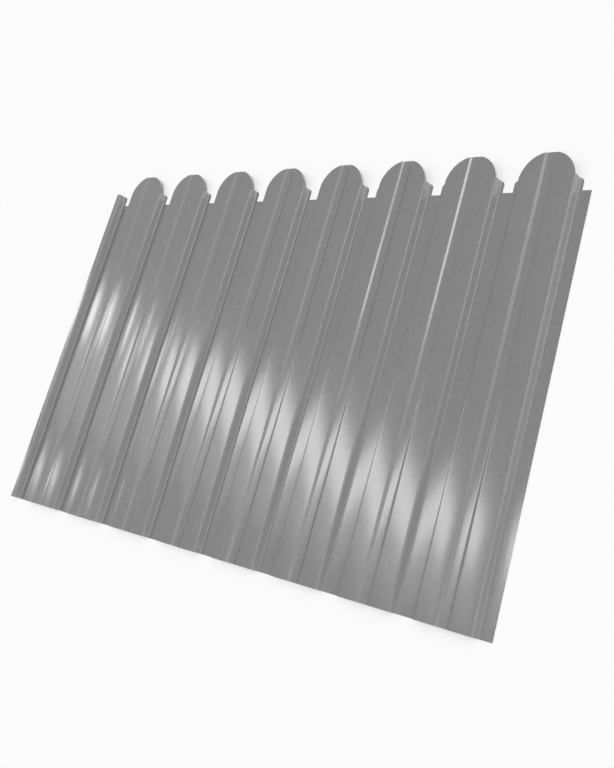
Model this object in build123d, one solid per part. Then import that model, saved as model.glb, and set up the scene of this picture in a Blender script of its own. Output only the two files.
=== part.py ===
"""Profiled metal sheet: trapezoidal waves with a grooved crest and a figured top edge.

The sheet lies flat, crests up. X runs across the waves, Y along them towards the figured edge.
The origin is the centre of the sheet's box, on the plane that the valleys rest on. Millimetres.
"""
import os

from build123d import *

# The rolled section, measured on its upper surface
pitch = 137.5
wave_count = 8
wave_height = 15.0
valley_width = 32.0
flank_run = 4.5
thickness = 0.7
bend_radius = 3.0

# The stiffening groove along the middle of each crest
groove_width = 23.0
groove_run = 4.5
groove_depth = 2.5

# The side laps: a strip of crest on the left and a strip of valley on the right
crest_lap = 10.0
valley_lap = 22.2

# The figured top edge, with rises measured from the floor of the notches
notch_level = 730.0
notch_width = 18.5
shoulder_rise = 23.0
shoulder_radius = 7.5
dome_centre_rise = 12.0
dome_rise = 67.4
cut_overrun = 5.0

# What follows from the sizes above
crest_width = pitch - valley_width - 2 * flank_run
crest_edge = (crest_width - groove_width) / 2
sheet_width = crest_lap + flank_run + wave_count * pitch + valley_lap
sheet_length = notch_level + dome_rise
left_edge = -sheet_width / 2
notch_floor = notch_level - sheet_length / 2
lapped_crest = left_edge + crest_lap - crest_width / 2
valley_top = thickness
crest_top = valley_top + wave_height
groove_floor = crest_top - groove_depth


def surface_line():
    """The section's upper surface from left to right, with every bend rounded."""
    x = left_edge
    points = [(x, crest_top)]
    steps = [(crest_lap, crest_top), (flank_run, valley_top)]
    for _ in range(wave_count):
        steps += [
            (valley_width, valley_top),
            (flank_run, crest_top),
            (crest_edge, crest_top),
            (groove_run, groove_floor),
            (groove_width - 2 * groove_run, groove_floor),
            (groove_run, crest_top),
            (crest_edge, crest_top),
            (flank_run, valley_top),
        ]
    steps.append((valley_lap, valley_top))
    for run, level in steps:
        x += run
        points.append((x, level))
    return FilletPolyline(*points, radius=bend_radius)


def rolled_sheet():
    """The section given its thickness downwards and run along the full length."""
    section = make_face(offset(surface_line(), amount=thickness, side=Side.RIGHT))
    return extrude(Plane.XZ * section, amount=sheet_length / 2, both=True)


def figured_outline():
    """The outline seen from above: notched at the valleys, domed at the full crests."""
    outline = Pos(0, notch_floor) * Rectangle(sheet_width, notch_level, align=(Align.CENTER, Align.MAX))
    shoulders = Rectangle(pitch - notch_width, shoulder_rise, align=(Align.CENTER, Align.MIN))
    shoulders = fillet(shoulders.vertices().group_by(Axis.Y)[-1], shoulder_radius)
    dome = Pos(0, dome_centre_rise) * Ellipse(crest_width / 2, dome_rise - dome_centre_rise)
    outline += Pos(lapped_crest, notch_floor) * shoulders
    for wave in range(wave_count):
        crest = lapped_crest + (wave + 1) * pitch
        outline += Pos(crest, notch_floor) * (shoulders + dome)
    return outline


os.makedirs("parts", exist_ok=True)
blank = extrude(figured_outline(), amount=crest_top + cut_overrun, both=True)
sheet = rolled_sheet() & blank
export_step(sheet, "parts/profiled_sheet.step")
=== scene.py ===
"""Profiled sheet of zinc-coated steel: wide waves with a grooved crest and a figured top edge.

The waves are drawn out step by step from one edge, rounded at the bends, given the sheet's
thickness and cut to the figured outline. Metres, in the frame of the solid that the sheet stands for.
"""

import math

import bmesh
import bpy
from bpy.props import FloatProperty, FloatVectorProperty, IntProperty, PointerProperty
from mathutils import Matrix, Vector


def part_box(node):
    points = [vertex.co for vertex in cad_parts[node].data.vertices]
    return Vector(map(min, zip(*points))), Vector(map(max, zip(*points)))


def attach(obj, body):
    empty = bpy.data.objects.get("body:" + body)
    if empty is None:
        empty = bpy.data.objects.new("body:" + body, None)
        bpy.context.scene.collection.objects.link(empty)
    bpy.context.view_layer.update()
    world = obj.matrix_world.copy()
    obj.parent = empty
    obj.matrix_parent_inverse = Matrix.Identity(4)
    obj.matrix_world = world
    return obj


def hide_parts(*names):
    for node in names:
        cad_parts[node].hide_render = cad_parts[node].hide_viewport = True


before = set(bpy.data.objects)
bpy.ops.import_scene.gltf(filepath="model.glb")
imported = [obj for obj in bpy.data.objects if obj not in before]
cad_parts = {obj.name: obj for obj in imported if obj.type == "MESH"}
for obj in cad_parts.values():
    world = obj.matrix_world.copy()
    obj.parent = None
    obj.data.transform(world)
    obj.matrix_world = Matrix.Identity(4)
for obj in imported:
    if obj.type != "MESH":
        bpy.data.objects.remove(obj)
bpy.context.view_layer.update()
LOW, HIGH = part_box("profiled_sheet")

bl_info = {
    "name": "Profiled Zinc Sheet",
    "version": (1, 0, 0),
    "blender": (4, 5, 0),
    "location": "View3D > Sidebar > Profiled Sheet",
    "description": "Forms a profiled sheet of zinc-coated steel with a figured top edge, and sets its stage",
    "category": "Add Mesh",
}

# Steps along a panel, along a narrow strip such as the floor of a groove, and along the left lap
PANEL_STEPS = 12
STRIP_STEPS = 6
LAP_STEPS = 2

# Steps round a bend, round the corner of a shoulder and round a whole dome, and the bevel that is round
BEND_STEPS = 8
CORNER_STEPS = 10
DOME_STEPS = 128
ROUND_PROFILE = 0.5

# How much of the slack each panel takes, from the fuller arch at a crest's left to the groove's floor
VALLEY_SHARE = 1.0
LEFT_LEDGE_SHARE = 1.0
RIGHT_LEDGE_SHARE = 0.8
GROOVE_SHARE = 0.65

# Turns of the steep bends at the flanks and of the slight bends at the groove, from and to, in degrees
BENDS = ((50, 180), (15, 50))

# How close the edges of two waves lie where they are joined
JOIN_GAP = 0.00002

# Depths of the punch's blocks in heights of the sheet, so that no two blocks end in one plane
SHOULDER_DEPTH = 2.0
DOME_DEPTH = 2.2
PUNCH_DEPTH = 2.4

# A face is a cut where its normal rises less than this, and edges look smooth below this turn
CUT_RISE = 0.1
SMOOTH_TURN = math.radians(30)

# The rolling marks: length of a streak in widths, clouds in a metre, the detail of both, and the part of
# a pattern that is spread over a range
STREAK_STRETCH = 50
STREAK_DETAIL = 3
CLOUDS_PER_METRE = 5
CLOUD_DETAIL = 4
PATTERN_LOW = 0.25
PATTERN_HIGH = 0.75

# How much the marks lighten and darken the coat, and how much they change its roughness
COAT_GRAIN = 0.02
COAT_CLOUD = 0.02
COAT_STREAK = 0.015
ROUGH_GRAIN = 0.03
ROUGH_CLOUD = 0.05

# How much the marks lighten and darken a cut, its roughness, its finer marks and its deeper relief
CUT_GRAIN = 0.07
CUT_STREAK = 0.1
CUT_ROUGH = (0.35, 0.5)
CUT_GRAIN_SIZE = 1 / 4
CUT_STREAK_SIZE = 1 / 8
CUT_RIPPLE = 4

# Width of the camera's frame in millimetres, roughness of the floor and plain white
FRAME_WIDTH = 36
FLOOR_ROUGHNESS = 0.9
WHITE = (1, 1, 1, 1)

# Lamps that show in the zinc: two ends seen from the sheet, width in degrees, brightness
LAMPS = (
    ("strip_lamp", (-0.720, 0.184, 0.669), (-0.361, 0.064, 0.930), 3.8, 4.65),
    ("dim_panel", (-0.897, 0.190, 0.399), (-0.304, 0.034, 0.952), 9.1, 0.87),
    ("square_lamp", (-0.892, 0.215, 0.397), (-0.770, 0.205, 0.604), 3.2, 6.2),
    ("low_lamp", (-0.854, 0.025, 0.520), (-0.780, -0.003, 0.626), 1.7, 5.5),
    ("back_lamp", (0.375, 0.300, 0.877), (0.410, 0.560, 0.720), 6.5, 4.4),
)

# Broad lamps in the same terms that don't show as reflections. The side lamp lights the flanks, and it
# casts no shadow, so that it reaches the foot of every flank.
FILL_LAMP = ("fill_lamp", (0.420, -0.150, 0.900), (0.180, -0.080, 0.980), 24.0, 15.1)
SIDE_LAMP = ("side_lamp", (0.994, -0.050, 0.100), (0.835, -0.540, 0.100), 8.0, 40.0)


def length(name, description, default):
    """A length that the user can change."""
    return FloatProperty(name=name, description=description, default=default, precision=5, unit="LENGTH")


def colour(name, description, default):
    """A colour that the user can change."""
    return FloatVectorProperty(
        name=name, description=description, default=default, subtype="COLOR", min=0, max=1
    )


def share(name, description, default):
    """A value from none to all."""
    return FloatProperty(
        name=name, description=description, default=default, subtype="FACTOR", min=0, max=1
    )


class SheetSection(bpy.types.PropertyGroup):
    """The rolled section, measured on its upper surface."""

    waves: IntProperty(name="Waves", description="Number of full waves", default=8, min=1)
    pitch: length("Pitch", "Width of one full wave", 0.1375)
    valley: length("Valley", "Width of the valley's floor", 0.032)
    flank: length("Flank Run", "Width of a flank seen from above", 0.0045)
    groove: length("Groove", "Width of the groove along a crest", 0.023)
    groove_run: length("Groove Run", "Width of a groove's side seen from above", 0.0045)
    groove_depth: length("Groove Depth", "Depth of the groove", 0.0025)
    bend: length("Bend Radius", "Radius at every bend", 0.003)
    thickness: length("Thickness", "Thickness of the steel", 0.0007)
    crest_lap: length("Crest Lap", "Strip of crest at the left edge", 0.010)
    valley_lap: length("Valley Lap", "Strip of valley at the right edge", 0.0222)
    slack: FloatProperty(
        name="Panel Slack",
        description="Lean of a panel at its edges, where rolling leaves it slightly arched or dished",
        default=math.radians(2.5),
        subtype="ANGLE",
    )


class SheetEdge(bpy.types.PropertyGroup):
    """The figured top edge, with rises measured from the floor of the notches."""

    notch: length("Notch", "Width of the notch at a valley", 0.0185)
    shoulder_rise: length("Shoulder Rise", "Height of a shoulder", 0.023)
    shoulder_round: length("Shoulder Rounding", "Radius at the corner of a shoulder", 0.0075)
    dome_seat: length("Dome Seat", "Height of a dome's widest line", 0.012)
    dome_rise: length("Dome Rise", "Height of a dome's top", 0.0674)


class SheetFinish(bpy.types.PropertyGroup):
    """The zinc coat and the bare cut edge."""

    zinc: colour("Zinc", "Colour of the zinc coat", (0.208, 0.209, 0.209))
    cut: colour("Cut Edge", "Colour of the bare steel at a cut", (0.19, 0.19, 0.193))
    metal: share("Metal", "How much of the coat shines as bare metal, the rest being dull patina", 0.25)
    rough: share("Roughness", "Roughness of the zinc coat", 0.127)
    grain: length("Grain", "Width of a zinc grain", 0.006)
    streak: length("Streak", "Width of a streak from rolling", 0.003)
    ripple: length("Ripple", "Depth of the faint relief in the coat", 0.000005)


class SheetStage(bpy.types.PropertyGroup):
    """Camera, lamps, floor and surround."""

    camera_place: FloatVectorProperty(
        name="Camera Place",
        description="Where the camera stands",
        default=(0.98764, -0.35943, 1.17661),
        subtype="TRANSLATION",
    )
    camera_turn: FloatVectorProperty(
        name="Camera Turn",
        description="How the camera is turned",
        default=(math.radians(22.224), math.radians(31.5631), math.radians(18.3606)),
        subtype="EULER",
    )
    lens: FloatProperty(
        name="Lens", description="Focal length for a 36 mm frame", default=37.962, subtype="DISTANCE_CAMERA"
    )
    lamp_distance: length("Lamp Distance", "How far the lamps that show stand from the sheet", 40.0)
    fill_distance: length("Fill Distance", "How far the fill lamps stand from the sheet", 400.0)
    floor_side: length("Floor Side", "Side of the floor", 60.0)
    floor: colour("Floor", "Colour of the floor", (0.97, 0.97, 0.97))
    surround: share("Surround", "Level of the light from the white surround", 0.3)


def take_up(piece):
    """Makes a piece the only selected one, ready for a tool."""
    bpy.ops.object.select_all(action="DESELECT")
    piece.select_set(True)
    bpy.context.view_layer.objects.active = piece


def pick(kind, test):
    """Selects those vertices, edges or faces of the piece in hand that pass a test."""
    modes = {"verts": "VERT", "edges": "EDGE", "faces": "FACE"}
    bpy.ops.mesh.select_mode(type=modes[kind])
    bpy.ops.mesh.select_all(action="DESELECT")
    shape = bpy.context.object.data
    mesh = bmesh.from_edit_mesh(shape)
    for part in getattr(mesh, kind):
        if test(part):
            part.select_set(True)
    bmesh.update_edit_mesh(shape)


def finish_with(piece, kind, **settings):
    """Adds a modifier with its settings and applies it."""
    take_up(piece)
    tool = piece.modifiers.new(kind.title(), kind)
    for name, value in settings.items():
        setattr(tool, name, value)
    bpy.ops.object.modifier_apply(modifier=tool.name)


def repeat(piece, count, pitch, merge):
    """Repeats a piece across the sheet, one wave apart."""
    finish_with(
        piece,
        "ARRAY",
        count=count,
        use_relative_offset=False,
        use_constant_offset=True,
        constant_offset_displace=(pitch, 0, 0),
        use_merge_vertices=merge,
        merge_threshold=JOIN_GAP,
    )


def step_on(run, rise):
    """Draws the picked edge on by one step of the section."""
    bpy.ops.mesh.extrude_region_move(TRANSFORM_OT_translate={"value": (run, 0, rise)})


def panel_on(run, arch, steps):
    """Draws a panel on in even steps along a shallow arch, or along a dish where the arch is negative."""
    for step in range(steps):
        start = step / steps
        end = (step + 1) / steps
        step_on(run / steps, 4 * arch * (end * (1 - end) - start * (1 - start)))


def crest_width(section):
    """The width of a crest between its flanks."""
    return section.pitch - section.valley - 2 * section.flank


def add_laps(sheet, section, lean, rise):
    """A strip of crest is drawn on at the left edge and a strip of valley at the right."""
    bpy.ops.object.mode_set(mode="EDIT")
    places = [vert.co.x for vert in bmesh.from_edit_mesh(sheet.data).verts]
    near = section.thickness / 2
    left = min(places) + near
    right = max(places) - near
    pick("edges", lambda edge: all(vert.co.x < left for vert in edge.verts))
    step_on(-section.flank, rise)
    panel_on(-section.crest_lap, 0, LAP_STEPS)
    pick("edges", lambda edge: all(vert.co.x > right for vert in edge.verts))
    panel_on(section.valley_lap, -lean * section.valley_lap, STRIP_STEPS)
    bpy.ops.object.mode_set(mode="OBJECT")


def draw_waves(section):
    """One wave is drawn out from an edge, repeated across the sheet and given its laps."""
    lean = math.tan(section.slack) / 4
    ledge = (crest_width(section) - section.groove) / 2
    groove_floor = section.groove - 2 * section.groove_run
    dish = lean * section.valley * VALLEY_SHARE
    valley_edge = LOW[2] + section.thickness + dish
    rise = HIGH[2] - valley_edge
    side = HIGH[1] - LOW[1]

    bpy.ops.object.select_all(action="DESELECT")
    bpy.ops.mesh.primitive_plane_add(size=side, location=(0, 0, 0))
    sheet = bpy.context.object
    sheet.name = sheet.data.name = "zinc_sheet"
    bpy.ops.object.mode_set(mode="EDIT")
    pick("verts", lambda vert: vert.co.x < 0)
    bpy.ops.mesh.delete(type="VERT")
    bpy.ops.mesh.select_all(action="SELECT")
    start = LOW[0] + section.crest_lap + section.flank
    bpy.ops.transform.translate(value=(start - side / 2, 0, valley_edge))
    panel_on(section.valley, -dish, PANEL_STEPS)
    step_on(section.flank, rise)
    panel_on(ledge, lean * ledge * LEFT_LEDGE_SHARE, PANEL_STEPS)
    step_on(section.groove_run, -section.groove_depth)
    panel_on(groove_floor, -lean * groove_floor * GROOVE_SHARE, STRIP_STEPS)
    step_on(section.groove_run, section.groove_depth)
    panel_on(ledge, lean * ledge * RIGHT_LEDGE_SHARE, PANEL_STEPS)
    step_on(section.flank, -rise)
    bpy.ops.object.mode_set(mode="OBJECT")
    repeat(sheet, section.waves, section.pitch, True)
    add_laps(sheet, section, lean, rise)
    return sheet


def turn(edge):
    """How far the sheet turns at an edge, in degrees, with none at its outer edges."""
    return math.degrees(edge.calc_face_angle()) if len(edge.link_faces) == 2 else 0


def round_bends(sheet, section):
    """The steep bends and then the slight bends of the groove are rounded to the bend radius."""
    bpy.ops.object.mode_set(mode="EDIT")
    for least, most in BENDS:
        pick("edges", lambda edge: least < turn(edge) <= most)
        mesh = bmesh.from_edit_mesh(sheet.data)
        turns = [edge.calc_face_angle() for edge in mesh.edges if edge.select]
        if not turns:
            raise RuntimeError("no bends found to round")
        reach = section.bend * math.tan(sum(turns) / len(turns) / 2)
        bpy.ops.mesh.bevel(
            offset_type="OFFSET", offset=reach, segments=BEND_STEPS, profile=ROUND_PROFILE, affect="EDGES"
        )
    bpy.ops.mesh.select_all(action="SELECT")
    bpy.ops.mesh.normals_make_consistent(inside=False)
    mesh = bmesh.from_edit_mesh(sheet.data)
    if sum(face.normal.z * face.calc_area() for face in mesh.faces) < 0:
        bpy.ops.mesh.flip_normals()
    bpy.ops.object.mode_set(mode="OBJECT")


def give_thickness(sheet, section, edge):
    """A line is cut below the notches, to end the long faces there, and the sheet gets its thickness."""
    bpy.ops.object.mode_set(mode="EDIT")
    bpy.ops.mesh.select_all(action="SELECT")
    line = HIGH[1] - edge.dome_rise - edge.shoulder_rise / 2
    bpy.ops.mesh.bisect(plane_co=(0, line, 0), plane_no=(0, 1, 0))
    bpy.ops.object.mode_set(mode="OBJECT")
    finish_with(
        sheet, "SOLIDIFY", thickness=section.thickness, offset=-1, use_even_offset=True, use_rim=True
    )


def plate(low, high, depth):
    """Begins a block of the punch: a rectangle, left in edit mode with all of it selected."""
    bpy.ops.object.select_all(action="DESELECT")
    bpy.ops.mesh.primitive_plane_add(size=1, location=(0, 0, 0))
    bpy.ops.object.mode_set(mode="EDIT")
    bpy.ops.transform.resize(value=(high[0] - low[0], high[1] - low[1], 1))
    bpy.ops.transform.translate(value=((low[0] + high[0]) / 2, (low[1] + high[1]) / 2, -depth))
    return bpy.context.object


def raise_up(piece, depth):
    """Draws the outline of a block up to its full height, with its faces turned outwards."""
    bpy.ops.mesh.select_all(action="SELECT")
    bpy.ops.mesh.extrude_region_move(TRANSFORM_OT_translate={"value": (0, 0, 2 * depth)})
    bpy.ops.mesh.select_all(action="SELECT")
    bpy.ops.mesh.normals_make_consistent(inside=False)
    bpy.ops.object.mode_set(mode="OBJECT")
    return piece


def shoulders(section, edge, crest, notch_floor, depth):
    """The shoulders of one crest: a block with two rounded corners."""
    half = (section.pitch - edge.notch) / 2
    sunk = notch_floor - edge.shoulder_rise
    piece = plate((crest - half, sunk), (crest + half, notch_floor + edge.shoulder_rise), depth)
    pick("verts", lambda vert: vert.co.y > notch_floor)
    bpy.ops.mesh.bevel(
        offset_type="OFFSET",
        offset=edge.shoulder_round,
        segments=CORNER_STEPS,
        profile=ROUND_PROFILE,
        affect="VERTICES",
    )
    return raise_up(piece, depth)


def dome(section, edge, crest, notch_floor, depth):
    """The dome of one crest: an oval as wide as the crest."""
    bpy.ops.object.select_all(action="DESELECT")
    bpy.ops.mesh.primitive_circle_add(vertices=DOME_STEPS, radius=1, fill_type="NGON", location=(0, 0, 0))
    piece = bpy.context.object
    bpy.ops.object.mode_set(mode="EDIT")
    bpy.ops.transform.resize(value=(crest_width(section) / 2, edge.dome_rise - edge.dome_seat, 1))
    bpy.ops.transform.translate(value=(crest, notch_floor + edge.dome_seat, -depth))
    return raise_up(piece, depth)


def join_block(punch, part):
    """Joins a block into the punch."""
    finish_with(punch, "BOOLEAN", operation="UNION", object=part, solver="EXACT")
    bpy.data.objects.remove(part)


def cut_figure(sheet, section, edge):
    """The top edge is cut with a punch that leaves notches at the valleys and domes at the crests."""
    notch_floor = HIGH[1] - edge.dome_rise
    height = HIGH[2] - LOW[2]
    lapped = LOW[0] + section.crest_lap - crest_width(section) / 2
    first = lapped + section.pitch
    shallow = SHOULDER_DEPTH * height
    deep = PUNCH_DEPTH * height

    teeth = shoulders(section, edge, first, notch_floor, shallow)
    join_block(teeth, dome(section, edge, first, notch_floor, DOME_DEPTH * height))
    repeat(teeth, section.waves, section.pitch, False)
    punch = plate((LOW[0] - height, LOW[1] - height), (HIGH[0] + height, notch_floor), deep)
    raise_up(punch, deep)
    join_block(punch, teeth)
    join_block(punch, shoulders(section, edge, lapped, notch_floor, shallow))
    finish_with(sheet, "BOOLEAN", operation="INTERSECT", object=punch, solver="MANIFOLD")
    bpy.data.objects.remove(punch)


def rolling_marks():
    """Node group: zinc grains, streaks along the waves and a soft cloud, each as a value."""
    group = bpy.data.node_groups.new("rolling_marks", "ShaderNodeTree")
    sockets = group.interface
    sockets.new_socket(name="Place", in_out="INPUT", socket_type="NodeSocketVector")
    sockets.new_socket(name="Grain Size", in_out="INPUT", socket_type="NodeSocketFloat")
    sockets.new_socket(name="Streak Width", in_out="INPUT", socket_type="NodeSocketFloat")
    for name in ("Grain", "Streak", "Cloud"):
        sockets.new_socket(name=name, in_out="OUTPUT", socket_type="NodeSocketFloat")
    nodes = group.nodes
    links = group.links
    given = nodes.new("NodeGroupInput")
    result = nodes.new("NodeGroupOutput")

    def fineness(name):
        node = nodes.new("ShaderNodeMath")
        node.operation = "DIVIDE"
        node.inputs[0].default_value = 1
        links.new(given.outputs[name], node.inputs[1])
        return node.outputs[0]

    grains = nodes.new("ShaderNodeTexVoronoi")
    links.new(given.outputs["Place"], grains.inputs["Vector"])
    links.new(fineness("Grain Size"), grains.inputs["Scale"])
    tone = nodes.new("ShaderNodeSeparateColor")
    links.new(grains.outputs["Color"], tone.inputs[0])
    links.new(tone.outputs[0], result.inputs["Grain"])

    drawn = nodes.new("ShaderNodeMapping")
    drawn.inputs["Scale"].default_value = (1, 1 / STREAK_STRETCH, 1)
    links.new(given.outputs["Place"], drawn.inputs["Vector"])
    streaks = nodes.new("ShaderNodeTexNoise")
    streaks.inputs["Detail"].default_value = STREAK_DETAIL
    links.new(drawn.outputs[0], streaks.inputs["Vector"])
    links.new(fineness("Streak Width"), streaks.inputs["Scale"])
    links.new(streaks.outputs["Fac"], result.inputs["Streak"])

    clouds = nodes.new("ShaderNodeTexNoise")
    clouds.inputs["Scale"].default_value = CLOUDS_PER_METRE
    clouds.inputs["Detail"].default_value = CLOUD_DETAIL
    links.new(given.outputs["Place"], clouds.inputs["Vector"])
    links.new(clouds.outputs["Fac"], result.inputs["Cloud"])
    return group


def spread(tree, value, low, high):
    """Spreads the middle of a pattern over a range of values."""
    node = tree.nodes.new("ShaderNodeMapRange")
    node.inputs["From Min"].default_value = PATTERN_LOW
    node.inputs["From Max"].default_value = PATTERN_HIGH
    node.inputs["To Min"].default_value = low
    node.inputs["To Max"].default_value = high
    tree.links.new(value, node.inputs["Value"])
    return node.outputs[0]


def vary(tree, value, amount, middle=1):
    """Spreads a pattern evenly about a middle value."""
    return spread(tree, value, middle * (1 - amount), middle * (1 + amount))


def times(tree, first, second):
    """Multiplies two values."""
    node = tree.nodes.new("ShaderNodeMath")
    node.operation = "MULTIPLY"
    tree.links.new(first, node.inputs[0])
    tree.links.new(second, node.inputs[1])
    return node.outputs[0]


def marked_steel(name, marks, grain, streak):
    """Begins a steel finish, with the rolling marks at their own sizes."""
    finish = bpy.data.materials.new(name)
    finish.use_nodes = True
    tree = finish.node_tree
    place = tree.nodes.new("ShaderNodeTexCoord")
    group = tree.nodes.new("ShaderNodeGroup")
    group.node_tree = marks
    group.inputs["Grain Size"].default_value = grain
    group.inputs["Streak Width"].default_value = streak
    tree.links.new(place.outputs["Object"], group.inputs["Place"])
    return finish, tree, tree.nodes["Principled BSDF"], group.outputs


def shade_by(tree, shader, base, shade):
    """Sets the colour of a finish, lighter and darker with a shade."""
    tint = tree.nodes.new("ShaderNodeMix")
    tint.data_type = "RGBA"
    tint.blend_type = "MULTIPLY"
    tint.inputs["Factor"].default_value = 1
    tint.inputs["A"].default_value = (*base, 1)
    tree.links.new(shade, tint.inputs["B"])
    tree.links.new(tint.outputs["Result"], shader.inputs["Base Color"])


def ripple_by(tree, shader, height, depth):
    """Gives a finish a faint relief."""
    relief = tree.nodes.new("ShaderNodeBump")
    relief.inputs["Strength"].default_value = 1
    relief.inputs["Distance"].default_value = depth
    tree.links.new(height, relief.inputs["Height"])
    tree.links.new(relief.outputs[0], shader.inputs["Normal"])


def zinc_coat(finish, marks):
    """Zinc coat: an even, mostly dull grey with faint grains, clouds and streaks from rolling."""
    coat, tree, shader, mark = marked_steel("zinc_coated_steel", marks, finish.grain, finish.streak)
    shader.inputs["Metallic"].default_value = finish.metal
    shade = times(tree, vary(tree, mark["Grain"], COAT_GRAIN), vary(tree, mark["Cloud"], COAT_CLOUD))
    shade = times(tree, shade, vary(tree, mark["Streak"], COAT_STREAK))
    shade_by(tree, shader, finish.zinc, shade)
    rough = times(
        tree,
        vary(tree, mark["Grain"], ROUGH_GRAIN),
        vary(tree, mark["Cloud"], ROUGH_CLOUD, finish.rough),
    )
    tree.links.new(rough, shader.inputs["Roughness"])
    ripple_by(tree, shader, mark["Streak"], finish.ripple)
    return coat


def cut_steel(finish, marks):
    """Bare steel at a cut, with the fine marks of the shear."""
    grain = finish.grain * CUT_GRAIN_SIZE
    streak = finish.streak * CUT_STREAK_SIZE
    steel, tree, shader, mark = marked_steel("cut_steel", marks, grain, streak)
    shader.inputs["Metallic"].default_value = finish.metal
    shade = times(tree, vary(tree, mark["Grain"], CUT_GRAIN), vary(tree, mark["Streak"], CUT_STREAK))
    shade_by(tree, shader, finish.cut, shade)
    tree.links.new(spread(tree, mark["Streak"], *CUT_ROUGH), shader.inputs["Roughness"])
    ripple_by(tree, shader, mark["Grain"], CUT_RIPPLE * finish.ripple)
    return steel


class SHEET_OT_form(bpy.types.Operator):
    """Forms the profiled sheet and gives it its zinc coat and bare cut edges"""

    bl_idname = "profiled_sheet.form"
    bl_label = "Form Sheet"

    def execute(self, context):
        scene = context.scene
        section = scene.sheet_section
        edge = scene.sheet_edge
        sheet = draw_waves(section)
        round_bends(sheet, section)
        give_thickness(sheet, section, edge)
        cut_figure(sheet, section, edge)

        marks = rolling_marks()
        coat = zinc_coat(scene.sheet_finish, marks)
        cut = cut_steel(scene.sheet_finish, marks)
        sheet.data.materials.clear()
        sheet.data.materials.append(coat)
        sheet.data.materials.append(cut)
        take_up(sheet)
        bpy.ops.object.mode_set(mode="EDIT")
        pick("faces", lambda face: abs(face.normal.z) < CUT_RISE)
        sheet.active_material_index = sheet.data.materials.find(cut.name)
        bpy.ops.object.material_slot_assign()
        bpy.ops.object.mode_set(mode="OBJECT")
        bpy.ops.object.shade_smooth_by_angle(angle=SMOOTH_TURN)
        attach(sheet, "root")
        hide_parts("profiled_sheet")
        return {"FINISHED"}


def soft_lamp(far, name, start, end, across, brightness):
    """A flat soft lamp that the sheet sees between two directions."""
    start = Vector(start).normalized()
    end = Vector(end).normalized()
    way = (start + end).normalized()
    along = (end - start).normalized()
    bpy.ops.object.select_all(action="DESELECT")
    bpy.ops.object.light_add(type="AREA", location=way * far)
    lamp = bpy.context.object
    lamp.name = lamp.data.name = name
    lamp.data.shape = "RECTANGLE"
    lamp.data.size = 2 * far * math.tan(start.angle(end) / 2)
    lamp.data.size_y = 2 * far * math.tan(math.radians(across) / 2)
    lamp.data.energy = brightness * math.pi * lamp.data.size * lamp.data.size_y
    lamp.rotation_euler = Matrix((along, way.cross(along), way)).transposed().to_euler()
    lamp.visible_camera = False
    return lamp


def pale_floor(stage):
    """A wide, dull, pale floor."""
    bpy.ops.object.select_all(action="DESELECT")
    bpy.ops.mesh.primitive_plane_add(size=stage.floor_side, location=(0, 0, 0))
    floor = bpy.context.object
    floor.name = floor.data.name = "pale_floor"
    paint = bpy.data.materials.new("pale_floor")
    paint.use_nodes = True
    shader = paint.node_tree.nodes["Principled BSDF"]
    shader.inputs["Base Color"].default_value = (*stage.floor, 1)
    shader.inputs["Roughness"].default_value = FLOOR_ROUGHNESS
    shader.inputs["Specular IOR Level"].default_value = 0
    floor.data.materials.append(paint)


def white_surround(stage):
    """A white surround, plain white where it is seen or mirrored and dimmer as a light."""
    world = bpy.data.worlds.new("white_surround")
    world.use_nodes = True
    tree = world.node_tree
    light = tree.nodes["Background"]
    light.inputs["Color"].default_value = WHITE
    light.inputs["Strength"].default_value = stage.surround
    white = tree.nodes.new("ShaderNodeBackground")
    white.inputs["Color"].default_value = WHITE
    rays = tree.nodes.new("ShaderNodeLightPath")
    shown = rays.outputs["Is Camera Ray"]
    for kind in ("Is Glossy Ray", "Is Transmission Ray"):
        either = tree.nodes.new("ShaderNodeMath")
        either.operation = "MAXIMUM"
        tree.links.new(shown, either.inputs[0])
        tree.links.new(rays.outputs[kind], either.inputs[1])
        shown = either.outputs[0]
    choice = tree.nodes.new("ShaderNodeMixShader")
    tree.links.new(shown, choice.inputs[0])
    tree.links.new(light.outputs[0], choice.inputs[1])
    tree.links.new(white.outputs[0], choice.inputs[2])
    tree.links.new(choice.outputs[0], tree.nodes["World Output"].inputs["Surface"])
    return world


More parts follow.
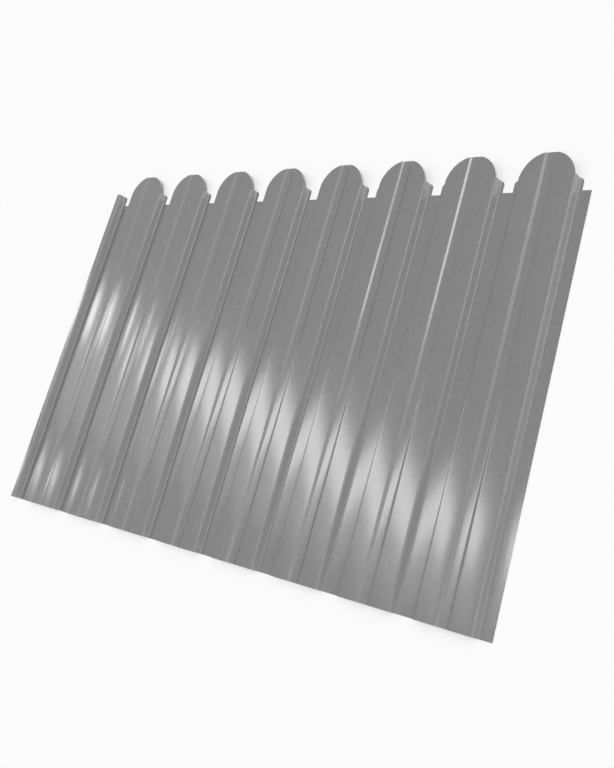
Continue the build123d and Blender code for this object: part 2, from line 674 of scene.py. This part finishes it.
class SHEET_OT_stage(bpy.types.Operator):
    """Sets the floor, the white surround, the lamps and the camera"""

    bl_idname = "profiled_sheet.stage"
    bl_label = "Set Stage"

    def execute(self, context):
        scene = context.scene
        stage = scene.sheet_stage
        pale_floor(stage)
        scene.world = white_surround(stage)
        for lamp in LAMPS:
            soft_lamp(stage.lamp_distance, *lamp)
        fill = soft_lamp(stage.fill_distance, *FILL_LAMP)
        side = soft_lamp(stage.fill_distance, *SIDE_LAMP)
        fill.visible_glossy = side.visible_glossy = False
        side.data.use_shadow = False
        bpy.ops.object.camera_add(location=stage.camera_place, rotation=stage.camera_turn)
        scene.camera = context.object
        scene.camera.data.sensor_width = FRAME_WIDTH
        scene.camera.data.lens = stage.lens
        scene.view_settings.view_transform = "Standard"
        return {"FINISHED"}


class SHEET_PT_shop(bpy.types.Panel):
    """Lists the sizes, the finish and the stage, with the tools that use them"""

    bl_idname = "SHEET_PT_shop"
    bl_label = "Profiled Sheet"
    bl_space_type = "VIEW_3D"
    bl_region_type = "UI"
    bl_category = "Profiled Sheet"

    def draw(self, context):
        scene = context.scene
        groups = (scene.sheet_section, scene.sheet_edge, scene.sheet_finish, scene.sheet_stage)
        for group in groups:
            box = self.layout.box()
            for name in group.bl_rna.properties.keys():
                if name not in ("rna_type", "name"):
                    box.prop(group, name)
        self.layout.operator(SHEET_OT_form.bl_idname)
        self.layout.operator(SHEET_OT_stage.bl_idname)


GROUPS = {
    "sheet_section": SheetSection,
    "sheet_edge": SheetEdge,
    "sheet_finish": SheetFinish,
    "sheet_stage": SheetStage,
}
TOOLS = (SHEET_OT_form, SHEET_OT_stage, SHEET_PT_shop)


def register():
    """Registers the groups, kept with the scene, and the tools."""
    for name, group in GROUPS.items():
        bpy.utils.register_class(group)
        setattr(bpy.types.Scene, name, PointerProperty(type=group))
    for tool in TOOLS:
        bpy.utils.register_class(tool)


def unregister():
    """Takes the tools and the groups away again."""
    for tool in reversed(TOOLS):
        bpy.utils.unregister_class(tool)
    for name, group in GROUPS.items():
        delattr(bpy.types.Scene, name)
        bpy.utils.unregister_class(group)


def main():
    """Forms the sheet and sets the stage."""
    register()
    bpy.ops.profiled_sheet.form()
    bpy.ops.profiled_sheet.stage()


if __name__ == "__main__":
    main()
